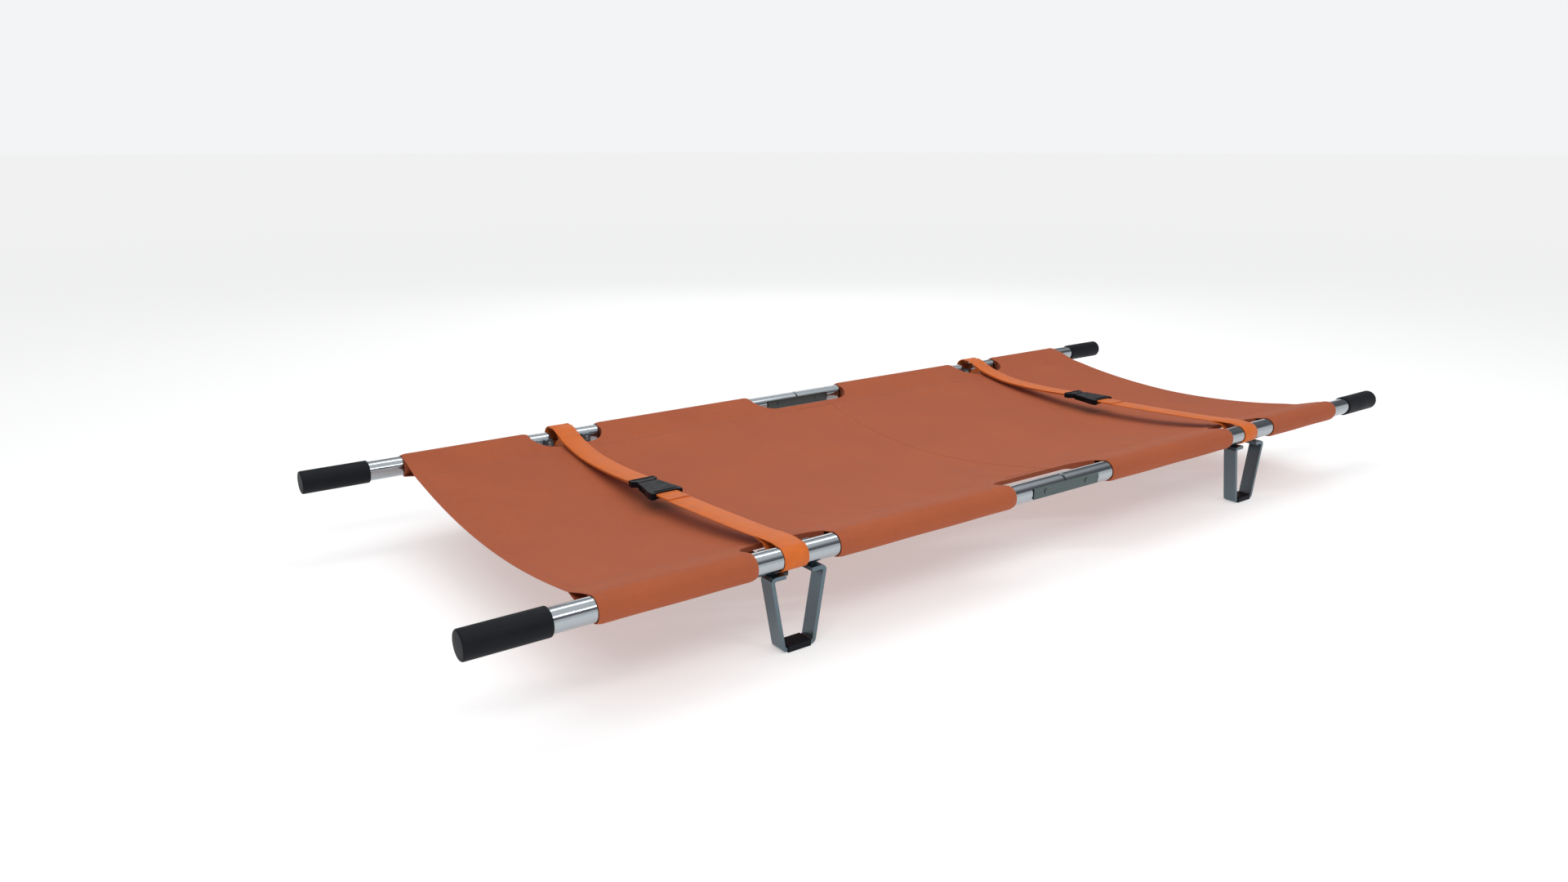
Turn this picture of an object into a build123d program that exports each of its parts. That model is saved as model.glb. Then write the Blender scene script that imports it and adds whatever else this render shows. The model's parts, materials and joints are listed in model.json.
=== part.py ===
from build123d import *
import math
import os

# A four-fold pole stretcher. +X runs along the poles towards the foot end, +Y towards
# the patient's left pole, +Z up. The origin is on the floor under the middle of the bed.
# Millimetres throughout. Most parts are drawn about their pole's axis, with Y running
# inboard and Z up from that axis, and place() then carries them to their pole.

# ---- driving dimensions -------------------------------------------------------------
HALF_LENGTH = 1100.0          # centre to the end of a grip
POLE_Y = 400.0                # centre to a pole's axis
AXIS_Z = 148.0                # floor to a pole's axis
TUBE_R = 18.0
TUBE_WALL = 2.0
GRIP_R = 21.0
GRIP_START = 981.0            # centre to the inner end of a grip
GRIP_CLEARANCE = 0.05
END_WALL = 7.0                # rubber across the end of a grip

PIN_X = 54.0                  # centre to a hinge pin
PIN_R = 4.0
PIN_HEAD_R = 5.0
PIN_HEAD_T = 1.0
RUNNING_FIT = 0.05
NOSE_GAP = 1.0                # half the gap between the two tube ends
FLAT_T = 15.5                 # pole axis to the milled flats
FLAT_R = 34.5                 # round end of the flats, about the pin
PLATE_T = 3.2
PLATE_GAP = 0.2               # flat to plate
PLATE_HALF = 86.0
PLATE_TOP = 10.5
PLATE_BOTTOM = -9.8
PLUG_R = 15.95
PLUG_END = 116.0

STATION_X = 590.0             # centre to the middle of a leg
LEG_TOP = 52.0                # half width of a leg loop, outside
LEG_FOOT = 31.0
LEG_BAR_W = 27.0
LEG_BAR_T = 6.5
LEG_TOP_Z = -22.0             # below the pole axis
LEG_FOOT_Z = -146.0
LEG_GAP = 24.0                # half the gap between the two top flanges
LEG_BEND_R = 5.5
PAD_SKIN = 2.0
PAD_HALF = 21.0

SADDLE_X = 41.0               # leg middle to a saddle
SADDLE_W = 16.0
SADDLE_TOP = 9.0
SADDLE_FACE = 24.0            # pole axis to the inboard face of a saddle
BRACKET_T = 3.0
BRACKET_HALF = 49.0
WEB_TOP = -12.0
WEB_BOTTOM = -33.0
SHELF_HALF = 19.0
SHELF_REACH = 47.0
PIVOT_T = 33.0                # pole axis to a spreader pivot
PIVOT_R = 4.0
ARM_W = 22.0
ARM_T = 6.0
ARM_RIGHT_TOP = -36.0
ARM_LEFT_TOP = -42.5
SCREW_Z = 1.5
RIVET_X = 37.5                # leg middle to a flange rivet
RIVET_T = 7.5
RIVET_R = 2.5
SCREW_R = 2.5
SCREW_HEAD_R = 4.5

SLEEVE_R = 20.3               # inside of the canvas sleeve
SLEEVE_T = 1.2
BED_HALF = 919.0
LEG_CUT = (515.0, 667.0)      # sleeve cut away round a leg, from the centre
MID_CUT = 130.0
CUT_EDGE = 62.0               # pole axis to the cut edge of the bed
CUT_CORNER = 45.0
SEAM_T = 75.0                 # pole axis to the seam where the sleeve's two layers meet
SEAM_Z = -1.0
BED_T = 2.4
SAG_Z = -31.0                 # bed surface along the centre line
WEB_START = 15.0              # where the bed's layers leave the sleeve
BED_JOIN_GAP = 0.15

STRAP_SHIFT = -8.0            # strap centre from the leg's middle, along X
STRAP_W = 44.0
STRAP_T = 2.0
STRAP_LOOP_R = 18.4
BUCKLE_Z = -0.5               # strap and buckle level at the middle, from the pole axis
SOCKET_Y = (-42.0, 28.0)      # socket half of the buckle along Y
PLUG_Y = (32.0, 54.0)         # plug half's cross bar along Y
SOCKET_WIDE = 31.0            # half width of the socket at its webbing end
SOCKET_MOUTH = 20.5           # half width of the socket at its mouth
PLUG_WIDE = 26.0
BUCKLE_T = 12.0
WEBBING_SLOT = 22.6           # half width of a webbing slot
POCKET_Z = 3.9
PRONG_ROOT = (14.0, 31.5)
PRONG_T = 7.0

PARTS = {}


def on_side(y_inboard, side):
    """Row Y of a point this far inboard of a pole; side is -1 right, +1 left."""
    return side * (POLE_Y - y_inboard)


def place(shape, side, x=0.0):
    """Moves a shape drawn with Y inboard of the pole and Z from its axis to its pole."""
    if side > 0:
        shape = mirror(shape, about=Plane.XZ)
    return Pos(x, side * POLE_Y, AXIS_Z) * shape


def box(x, y, z):
    """A box from three (low, high) pairs."""
    size = [b - a for a, b in (x, y, z)]
    centre = [(a + b) / 2 for a, b in (x, y, z)]
    return Pos(*centre) * Box(*size)


def rod(axis, radius, low, high, at=(0.0, 0.0)):
    """A cylinder along X, Y or Z from low to high; at gives its other two coordinates."""
    length = high - low
    middle = (low + high) / 2
    cylinder = Cylinder(radius, length)
    if axis == "X":
        return Pos(middle, at[0], at[1]) * Rot(0, 90, 0) * cylinder
    if axis == "Y":
        return Pos(at[0], middle, at[1]) * Rot(90, 0, 0) * cylinder
    return Pos(at[0], at[1], middle) * cylinder


def extrude_x(points, low, high):
    """A closed (y, z) outline extruded along X."""
    wire = Polyline(*[(low, y, z) for y, z in points], close=True)
    return extrude(make_face(wire), amount=high - low, dir=(1, 0, 0))


def keep(name, *shapes):
    PARTS[name] = Compound(children=list(shapes)) if len(shapes) > 1 else shapes[0]


# ---- poles --------------------------------------------------------------------------
def pole_nose(radius, end):
    """Limits a tube end to the circle it turns on, so the two halves clear each other."""
    reach = PIN_X - NOSE_GAP
    disc = rod("Y", reach, -radius - 1, radius + 1, at=(end * PIN_X, 0))
    beyond = sorted((end * PIN_X, end * HALF_LENGTH))
    rest = box(beyond, (-radius - 1, radius + 1), (-radius - 1, radius + 1))
    return disc + rest


def flats(end):
    """The two milled slots beside the hinge, as a cutting shape."""
    far = TUBE_R + 1
    span = sorted((0.0, end * PIN_X))
    cut = box(span, (FLAT_T, far), (-far, far)) + box(span, (-far, -FLAT_T), (-far, far))
    for side in ((FLAT_T, far), (-far, -FLAT_T)):
        cut = cut + rod("Y", FLAT_R, *side, at=(end * PIN_X, 0))
    return cut


def pole_tube(end):
    span = sorted((end * 0.01, end * (HALF_LENGTH - END_WALL)))
    tube = rod("X", TUBE_R, *span) - rod("X", TUBE_R - TUBE_WALL, *span)
    tube = tube & pole_nose(TUBE_R, end)
    tube = tube - flats(end)
    for shift in (-SADDLE_X, SADDLE_X):
        x = end * STATION_X + shift
        tube = tube - rod("Y", SCREW_R + RUNNING_FIT, 0, TUBE_R + 1, at=(x, SCREW_Z))
    return tube - rod("Y", PIN_R + RUNNING_FIT, -TUBE_R, TUBE_R, at=(end * PIN_X, 0))


def hinge_plug(end):
    """Solid insert that stiffens the tube end and carries the pin."""
    span = sorted((end * 0.01, end * PLUG_END))
    plug = rod("X", PLUG_R, *span) & pole_nose(PLUG_R, end)
    plug = plug - flats(end)
    return plug - rod("Y", PIN_R + RUNNING_FIT, -TUBE_R, TUBE_R, at=(end * PIN_X, 0))


def grip(end):
    """Moulded rubber grip with a closed, rounded end."""
    span = sorted((end * GRIP_START, end * HALF_LENGTH))
    body = rod("X", GRIP_R, *span)
    body = fillet(body.edges().filter_by(GeomType.CIRCLE), 3.0)
    hollow = sorted((end * (GRIP_START - 1), end * (HALF_LENGTH - END_WALL + GRIP_CLEARANCE)))
    return body - rod("X", TUBE_R + GRIP_CLEARANCE, *hollow)


# ---- middle hinge -------------------------------------------------------------------
def hinge_plate(near):
    """One long side plate: near is -1 for the outer face of the pole, +1 for the inner."""
    inside = FLAT_T + PLATE_GAP
    y = sorted((near * inside, near * (inside + PLATE_T)))
    plate = box((-PLATE_HALF, PLATE_HALF), y, (PLATE_BOTTOM, PLATE_TOP))
    plate = fillet(plate.edges().filter_by(Axis.Y), 1.0)
    for x in (-PIN_X, PIN_X):
        plate = plate - rod("Y", PIN_R + RUNNING_FIT, y[0] - 1, y[1] + 1, at=(x, 0))
    return plate


def hinge_pin(x):
    """Headed pin right through the plug and both plates."""
    face = FLAT_T + PLATE_GAP + PLATE_T
    pin = rod("Y", PIN_R, -face - PIN_HEAD_T, face + PIN_HEAD_T, at=(x, 0))
    for near in (-1, 1):
        y = sorted((near * (face + 0.05), near * (face + PIN_HEAD_T)))
        head = rod("Y", PIN_HEAD_R, *y, at=(x, 0))
        pin = pin + head
    return pin


# ---- legs ---------------------------------------------------------------------------
def leg_path():
    """Centre line of the leg's bent bar, flange end to flange end, in the XZ plane."""
    half = LEG_BAR_T / 2
    top = LEG_TOP_Z - half
    foot = LEG_FOOT_Z + half
    return [
        (-LEG_GAP, top),
        (-(LEG_TOP - half), top),
        (-(LEG_FOOT - half), foot),
        (LEG_FOOT - half, foot),
        (LEG_TOP - half, top),
        (LEG_GAP, top),
    ]


def leg():
    """Flat bar bent to an open loop, narrower at the floor."""
    path = FilletPolyline(*[(x, 0, z) for x, z in leg_path()], radius=LEG_BEND_R)
    start = Plane(origin=(-LEG_GAP, 0, leg_path()[0][1]), x_dir=(0, 1, 0), z_dir=(-1, 0, 0))
    section = start * Rectangle(LEG_BAR_W, LEG_BAR_T)
    bar = sweep(section, path=path)
    for x in (-RIVET_X, RIVET_X):
        bar = bar - rod("Z", RIVET_R + RUNNING_FIT, LEG_TOP_Z - 10, LEG_TOP_Z + 1, at=(x, RIVET_T))
    return bar


def leg_pad():
    """Rubber shoe moulded round the bottom bar of a leg."""
    low = LEG_FOOT_Z - PAD_SKIN
    high = LEG_FOOT_Z + LEG_BAR_T + PAD_SKIN
    wide = LEG_BAR_W / 2 + PAD_SKIN
    shoe = box((-PAD_HALF, PAD_HALF), (-wide, wide), (low, high))
    shoe = fillet(shoe.edges().filter_by(Axis.X), 1.6)
    gap = 0.05
    bar = box(
        (-PAD_HALF - 1, PAD_HALF + 1),
        (-LEG_BAR_W / 2 - gap, LEG_BAR_W / 2 + gap),
        (LEG_FOOT_Z - gap, LEG_FOOT_Z + LEG_BAR_T + gap),
    )
    return shoe - bar


def leg_saddle(x):
    """Block between the tube, the leg's flange and the spreader bracket."""
    half = SADDLE_W / 2
    block = box((x - half, x + half), (3.0, SADDLE_FACE), (LEG_TOP_Z, SADDLE_TOP))
    rivet_x = math.copysign(RIVET_X, x)
    hole_top = LEG_TOP_Z + 7
    block = block - rod("Z", RIVET_R + RUNNING_FIT, LEG_TOP_Z - 1, hole_top, at=(rivet_x, RIVET_T))
    block = fillet(block.edges().filter_by(Axis.X).group_by(Axis.Z)[-1], 2.0)
    block = block - rod("X", TUBE_R + 0.05, x - half - 1, x + half + 1)
    return block - rod("Y", SCREW_R + RUNNING_FIT, 0, SADDLE_FACE + 1, at=(x, SCREW_Z))


def spreader_bracket():
    """Pressed angle: two ears on the saddles, a web between them and a pivot shelf."""
    y = (SADDLE_FACE, SADDLE_FACE + BRACKET_T)
    web = box((-BRACKET_HALF, BRACKET_HALF), y, (WEB_BOTTOM, WEB_TOP))
    shelf_z = (WEB_BOTTOM, WEB_BOTTOM + BRACKET_T)
    shelf = box((-SHELF_HALF, SHELF_HALF), (SADDLE_FACE, SHELF_REACH), shelf_z)
    shelf = fillet(shelf.edges().filter_by(Axis.Z).group_by(Axis.Y)[-1], 9.0)
    part = web + shelf
    for x in (-SADDLE_X, SADDLE_X):
        half = SADDLE_W / 2
        ear = box((x - half, x + half), y, (WEB_BOTTOM, SADDLE_TOP))
        part = part + fillet(ear.edges().filter_by(Axis.Y).group_by(Axis.Z)[-1], 3.0)
    for x in (-SADDLE_X, SADDLE_X):
        part = part - rod("Y", SCREW_R + RUNNING_FIT, 20, 30, at=(x, SCREW_Z))
    return part - rod("Z", PIVOT_R + RUNNING_FIT, WEB_BOTTOM - 1, WEB_TOP, at=(0, PIVOT_T))


def leg_screw(x):
    """Pan-head screw through ear and saddle into the tube wall."""
    face = SADDLE_FACE + BRACKET_T
    shank = rod("Y", SCREW_R, 14.0, face + 1, at=(x, SCREW_Z))
    head = rod("Y", SCREW_HEAD_R, face, face + 3.0, at=(x, SCREW_Z))
    head = fillet(head.edges().filter_by(GeomType.CIRCLE).group_by(Axis.Y)[-1], 1.4)
    slot = box((x - 5, x + 5), (face + 2.0, face + 4.0), (SCREW_Z - 0.5, SCREW_Z + 0.5))
    return shank + head - slot


def flange_rivet(x):
    """Rivet up through a leg's flange into its saddle."""
    low = LEG_TOP_Z - LEG_BAR_T
    shank = rod("Z", RIVET_R, low - 1, LEG_TOP_Z + 3.5, at=(x, RIVET_T))
    head = rod("Z", 4.0, low - 1.8, low - 0.02, at=(x, RIVET_T))
    return shank + head


def pivot_pin(arm_top):
    """Shouldered rivet that carries a spreader arm under the bracket's shelf."""
    bottom = arm_top - ARM_T
    shank = rod("Z", PIVOT_R, bottom - 2.5, WEB_BOTTOM + BRACKET_T + 2.0, at=(0, PIVOT_T))
    shoulder = rod("Z", 7.5, arm_top + 0.1, WEB_BOTTOM - 0.02, at=(0, PIVOT_T))
    foot = rod("Z", 7.5, bottom - 2.5, bottom - 0.1, at=(0, PIVOT_T))
    top_low = WEB_BOTTOM + BRACKET_T + 0.02
    top = rod("Z", 5.8, top_low, top_low + 2.0, at=(0, PIVOT_T))
    return shank + shoulder + foot + top


# ---- spreader arms ------------------------------------------------------------------
def arm_bar(y_start, y_end, top):
    """Flat bar with round ends between two pivot centres on the Y axis."""
    half = ARM_W / 2
    bar = box((-half, half), (y_start, y_end), (top - ARM_T, top))
    for y in (y_start, y_end):
        bar = bar + rod("Z", half, top - ARM_T, top, at=(0, y))
    return bar


def arm_right():
    """Right arm with its middle stud, drawn about the station's centre."""
    outer = -(POLE_Y - PIVOT_T)
    top = ARM_RIGHT_TOP
    arm = arm_bar(outer, 0.0, top)
    arm = arm - rod("Z", PIVOT_R + RUNNING_FIT, top - ARM_T - 1, top + 1, at=(0, outer))
    low = ARM_LEFT_TOP - ARM_T
    stud = rod("Z", PIVOT_R, low - 2.5, top, at=(0, 0))
    head = rod("Z", 7.0, low - 2.5, low - 0.2, at=(0, 0))
    return arm + stud + head


def arm_left():
    """Left arm, one bar thickness below the right one."""
    outer = POLE_Y - PIVOT_T
    top = ARM_LEFT_TOP
    arm = arm_bar(0.0, outer, top)
    for y in (0.0, outer):
        arm = arm - rod("Z", PIVOT_R + RUNNING_FIT, top - ARM_T - 1, top + 1, at=(0, y))
    return arm


# ---- canvas -------------------------------------------------------------------------
def sleeve_spans():
    """(low, high) distances from the centre of the sleeve's two lengths on a half."""
    return [(MID_CUT, LEG_CUT[0]), (LEG_CUT[1], BED_HALF)]


def sleeve(end):
    """Canvas tube round a pole half, in two lengths."""
    rings = []
    for low, high in sleeve_spans():
        span = sorted((end * low, end * high))
        outer = rod("X", SLEEVE_R + SLEEVE_T, *span)
        rings.append(outer - rod("X", SLEEVE_R, *span))
    return rings


def bed_height(y):
    """Bed surface above the pole axis at this distance from the centre line."""
    seam = POLE_Y - SEAM_T
    return SAG_Z + (SEAM_Z - SAG_Z) * (y / seam) ** 2


def bed_outline():
    """Closed (y, z) outline of the sagging bed with its two-layer wings at the poles."""
    seam = POLE_Y - SEAM_T
    steps = 12
    surface = [(-seam + 2 * seam * i / steps, 0.0) for i in range(steps + 1)]
    surface = [(y, bed_height(y)) for y, _ in surface]
    wing_y = POLE_Y - WEB_START
    rise = SLEEVE_R + SLEEVE_T - 4.5
    top = [(-wing_y, rise)] + surface + [(wing_y, rise)]
    under = [(y, z - BED_T) for y, z in surface]
    bottom = [(wing_y, -rise)] + under[::-1] + [(-wing_y, -rise)]
    return top + bottom


def edge_cut(low, high, side):
    """A round-cornered notch from beyond the pole to the bed's cut edge."""
    inner = POLE_Y - CUT_EDGE
    depth = 80.0
    notch = box((low, high), (inner, inner + depth + 60), (-60, 60))
    corners = notch.edges().filter_by(Axis.Z).group_by(Axis.Y)[0]
    notch = fillet(corners, CUT_CORNER)
    if side < 0:
        notch = mirror(notch, about=Plane.XZ)
    return notch


def bed(low, high):
    """One length of the bed between two X values."""
    sheet = extrude_x(bed_outline(), low, high)
    clear = SLEEVE_R + SLEEVE_T + 0.35
    for side in (-1, 1):
        sheet = sheet - rod("X", clear, low - 1, high + 1, at=(side * POLE_Y, 0))
        sheet = sheet - edge_cut(-MID_CUT, MID_CUT, side)
        for end in (-1, 1):
            span = sorted((end * LEG_CUT[0], end * LEG_CUT[1]))
            sheet = sheet - edge_cut(*span, side)
    return Pos(0, 0, AXIS_Z) * sheet


# ---- straps and buckles -------------------------------------------------------------
def strap_half(side):
    """Webbing loop round a pole and its run to the buckle, drawn about the strap line."""
    outer = STRAP_LOOP_R + STRAP_T
    half = STRAP_W / 2
    loop = rod("X", outer, -half, half) - rod("X", STRAP_LOOP_R, -half, half)
    top = outer
    join = POLE_Y + SOCKET_Y[0] if side < 0 else POLE_Y - PLUG_Y[1]
    end_z = BUCKLE_Z + STRAP_T / 2
    quarter_z, mid_z = (14.0, 8.0) if side < 0 else (5.0, -4.0)
    line = [(0.0, top), (95.0, quarter_z), (190.0, mid_z), (join - 0.4, end_z)]
    under = [(y, z - STRAP_T) for y, z in line]
    run = extrude_x(line + under[::-1], -half, half)
    run = run - rod("X", STRAP_LOOP_R, -half - 1, half + 1)
    return loop + run


def buckle_plate(outline, low, high):
    """A closed (x, y) outline extruded along Z."""
    wire = Polyline(*[(x, y, low) for x, y in outline], close=True)
    return extrude(make_face(wire), amount=high - low, dir=(0, 0, 1))


def both_hands(points):
    """Outline points of the +X side, closed by their mirror image."""
    return points + [(-x, y) for x, y in points[::-1]]


def buckle_socket():
    """Flared flat socket, open at the mouth and along its sides beside the prongs."""
    near, mouth = SOCKET_Y
    half = BUCKLE_T / 2
    flare = [(SOCKET_WIDE, near), (SOCKET_WIDE, near + 14), (25.0, 0.0), (SOCKET_MOUTH, mouth)]
    shell = buckle_plate(both_hands(flare), -half, half)
    shell = fillet(shell.edges().filter_by(Axis.Z), 2.5)
    shell = chamfer(shell.faces().sort_by(Axis.Z)[-1].edges(), 0.9)
    inside = [(26.0, near + 15), (22.0, 0.0), (SOCKET_MOUTH - 3, mouth + 1)]
    shell = shell - buckle_plate(both_hands(inside), -POCKET_Z, POCKET_Z)
    window_y = (-9.0, mouth + 1)
    shell = shell - box((-SOCKET_WIDE, SOCKET_WIDE), window_y, (-POCKET_Z, POCKET_Z))
    throat = box((-WEBBING_SLOT, WEBBING_SLOT), (near - 1, near + 4), (-half, half))
    slot = box((-WEBBING_SLOT, WEBBING_SLOT), (near + 7.5, near + 12), (-half, half))
    return shell - throat - slot


def buckle_plug():
    """Cross bar with the webbing slot, and the tongue that guides it into the socket."""
    low, high = PLUG_Y
    half = BUCKLE_T / 2 - 0.6
    outline = [(17.0, low), (19.5, low + 5), (PLUG_WIDE, low + 9), (PLUG_WIDE, high)]
    base = buckle_plate(both_hands(outline), -half, half)
    base = fillet(base.edges().filter_by(Axis.Z), 2.0)
    base = chamfer(base.faces().sort_by(Axis.Z)[-1].edges(), 0.8)
    slot = box((-WEBBING_SLOT, WEBBING_SLOT), (high - 8.5, high - 4), (-half, half))
    tongue = box((-5.0, 5.0), (-22.0, low + 2), (-3.0, 3.0))
    tongue = fillet(tongue.edges().filter_by(Axis.Z).group_by(Axis.Y)[0], 3.0)
    return base + tongue - slot


def buckle_prong(hand):
    """Side prong of the plug half, squeezed inwards to let go."""
    root_x, root_y = PRONG_ROOT
    outline = [
        (root_x - 2.5, root_y),
        (root_x + 2.5, root_y),
        (18.0, 20.0),
        (22.5, 10.0),
        (23.5, 2.0),
        (22.0, -6.0),
        (18.5, -7.5),
        (16.5, -16.0),
        (13.5, -15.0),
        (14.5, 6.0),
    ]
    flat = [(hand * x, y) for x, y in outline]
    return buckle_plate(flat, -PRONG_T / 2, PRONG_T / 2)


# ---- everything in its place --------------------------------------------------------
SIDES = {"right": -1, "left": 1}
ENDS = {"head": -1, "foot": 1}

for side_name, side in SIDES.items():
    arm_top = ARM_RIGHT_TOP if side < 0 else ARM_LEFT_TOP
    for end_name, end in ENDS.items():
        half_name = f"{side_name}_{end_name}"
        station = end * STATION_X
        keep(f"{half_name}_tube", place(pole_tube(end), side))
        keep(f"{half_name}_grip", place(grip(end), side))
        keep(f"{half_name}_hinge_plug", place(hinge_plug(end), side))
        keep(f"{half_name}_leg", place(leg(), side, station))
        keep(f"{half_name}_leg_pad", place(leg_pad(), side, station))
        saddles = [place(leg_saddle(x), side, station) for x in (-SADDLE_X, SADDLE_X)]
        keep(f"{half_name}_leg_saddles", *saddles)
        keep(f"{half_name}_spreader_bracket", place(spreader_bracket(), side, station))
        fasteners = [leg_screw(x) for x in (-SADDLE_X, SADDLE_X)]
        fasteners += [flange_rivet(x) for x in (-RIVET_X, RIVET_X)]
        fasteners.append(pivot_pin(arm_top))
        keep(f"{half_name}_fasteners", *[place(f, side, station) for f in fasteners])
        keep(f"{half_name}_sleeve", *[place(s, side) for s in sleeve(end)])
        strap_x = station + STRAP_SHIFT
        keep(f"{end_name}_strap_{side_name}", place(strap_half(side), side, strap_x))
    keep(f"{side_name}_hinge_plates", *[place(hinge_plate(n), side) for n in (-1, 1)])
    keep(f"{side_name}_hinge_pins", *[place(hinge_pin(x), side) for x in (-PIN_X, PIN_X)])

for end_name, end in ENDS.items():
    station = Pos(end * STATION_X, 0, AXIS_Z)
    keep(f"{end_name}_arm_right", station * arm_right())
    keep(f"{end_name}_arm_left", station * arm_left())
    strap_line = Pos(end * STATION_X + STRAP_SHIFT, 0, AXIS_Z + BUCKLE_Z)
    keep(f"{end_name}_buckle_socket", strap_line * buckle_socket())
    keep(f"{end_name}_buckle_plug", strap_line * buckle_plug())
    for hand_name, hand in (("outer", end), ("inner", -end)):
        keep(f"{end_name}_buckle_prong_{hand_name}", strap_line * buckle_prong(hand))

keep("bed_head", bed(-BED_HALF, -PIN_X - BED_JOIN_GAP))
keep("bed_middle", bed(-PIN_X + BED_JOIN_GAP, PIN_X - BED_JOIN_GAP))
keep("bed_foot", bed(PIN_X + BED_JOIN_GAP, BED_HALF))

os.makedirs("parts", exist_ok=True)
for name, shape in PARTS.items():
    export_step(shape, f"parts/{name}.step")
print(len(PARTS), "nodes")
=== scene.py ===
import json
import math

import bmesh
import bpy
import numpy as np
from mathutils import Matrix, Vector
from mathutils.geometry import delaunay_2d_cdt


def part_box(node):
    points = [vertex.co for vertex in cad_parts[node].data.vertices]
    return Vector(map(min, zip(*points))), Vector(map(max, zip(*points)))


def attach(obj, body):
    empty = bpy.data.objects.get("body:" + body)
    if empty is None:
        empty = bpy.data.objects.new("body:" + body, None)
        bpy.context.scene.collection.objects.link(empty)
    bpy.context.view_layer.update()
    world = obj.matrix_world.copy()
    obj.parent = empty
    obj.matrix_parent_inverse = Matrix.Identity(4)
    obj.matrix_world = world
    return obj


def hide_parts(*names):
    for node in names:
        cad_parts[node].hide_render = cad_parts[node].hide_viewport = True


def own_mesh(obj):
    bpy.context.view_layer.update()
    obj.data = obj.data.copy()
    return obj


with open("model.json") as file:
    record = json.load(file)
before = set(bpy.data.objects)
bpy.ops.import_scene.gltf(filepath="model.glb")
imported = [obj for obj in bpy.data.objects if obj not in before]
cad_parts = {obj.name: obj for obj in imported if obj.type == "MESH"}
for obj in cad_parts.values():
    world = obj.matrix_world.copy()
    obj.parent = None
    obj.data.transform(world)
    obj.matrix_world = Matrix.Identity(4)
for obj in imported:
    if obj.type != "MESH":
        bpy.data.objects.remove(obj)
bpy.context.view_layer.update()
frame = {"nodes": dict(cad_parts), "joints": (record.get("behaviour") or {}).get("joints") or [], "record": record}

# ---- places read from the frame (metres) --------------------------------------------
MM = 0.001
grip_low, grip_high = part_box("right_head_grip")
POLE_Y = -(grip_low.y + grip_high.y) / 2
AXIS_Z = (grip_low.z + grip_high.z) / 2
sleeve_low, sleeve_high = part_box("right_head_sleeve")
SLEEVE_R = (sleeve_high.z - sleeve_low.z) / 2
TUBE_R = (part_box("right_head_tube")[1].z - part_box("right_head_tube")[0].z) / 2
BED_END = -sleeve_low.x
MID_CUT = -sleeve_high.x
leg_low, leg_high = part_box("right_head_leg")
STATION_X = -(leg_low.x + leg_high.x) / 2
LEG_CUT = (STATION_X - 75 * MM, STATION_X + 77 * MM)    # the cut-out round a leg, along the pole
strap_low, strap_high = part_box("head_strap_right")
STRAP_W = strap_high.x - strap_low.x
STRAP_SHIFT = (strap_low.x + strap_high.x) / 2 + STATION_X
PIN_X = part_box("bed_foot")[0].x
CAD_BED_T = 2.4 * MM
SAG_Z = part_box("bed_middle")[0].z + CAD_BED_T - AXIS_Z
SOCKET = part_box("head_buckle_socket")
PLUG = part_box("head_buckle_plug")
BUCKLE_Z = (SOCKET[0].z + SOCKET[1].z) / 2 - AXIS_Z

# ---- cloth sizes --------------------------------------------------------------------
CLOTH_T = 1.2 * MM
CUT_EDGE = 62 * MM            # pole axis to the bed's cut edge
CUT_CORNER = 45 * MM
SEAM = (75 * MM, -1 * MM)     # where the sleeve's layers meet: inboard of the axis, height
WEB_T = 1.8 * MM
INNER_R = TUBE_R + CLOTH_T + 0.3 * MM    # sleeve inside the pocket, a little clear of the tube
END_PULL = 9 * MM             # length over which a sleeve's end closes on the tube
END_DIP = 1.9 * MM            # how far it closes
GRID = 11 * MM                # spacing of the bed mesh
STITCH_PITCH = 4.6 * MM
STITCH_LIFT = 0.15 * MM       # middle of the thread above the cloth
SEAM_ROWS = (3 * MM, 7 * MM)  # stitch rows, inboard of the seam
SEAM_STOP = 6 * MM            # seam stitching ends this far from a length's ends
BED_HEM = 16 * MM             # hem stitching, from an end of the bed
SLEEVE_HEM = 13 * MM          # hem stitching, from an end of a sleeve
HEM_BULGE = 0.9 * MM
CORNER_STEPS = 10             # points round a cut-out's corner, less one
CLOSE = 1e-6                  # lengths nearer than this are the same


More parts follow.
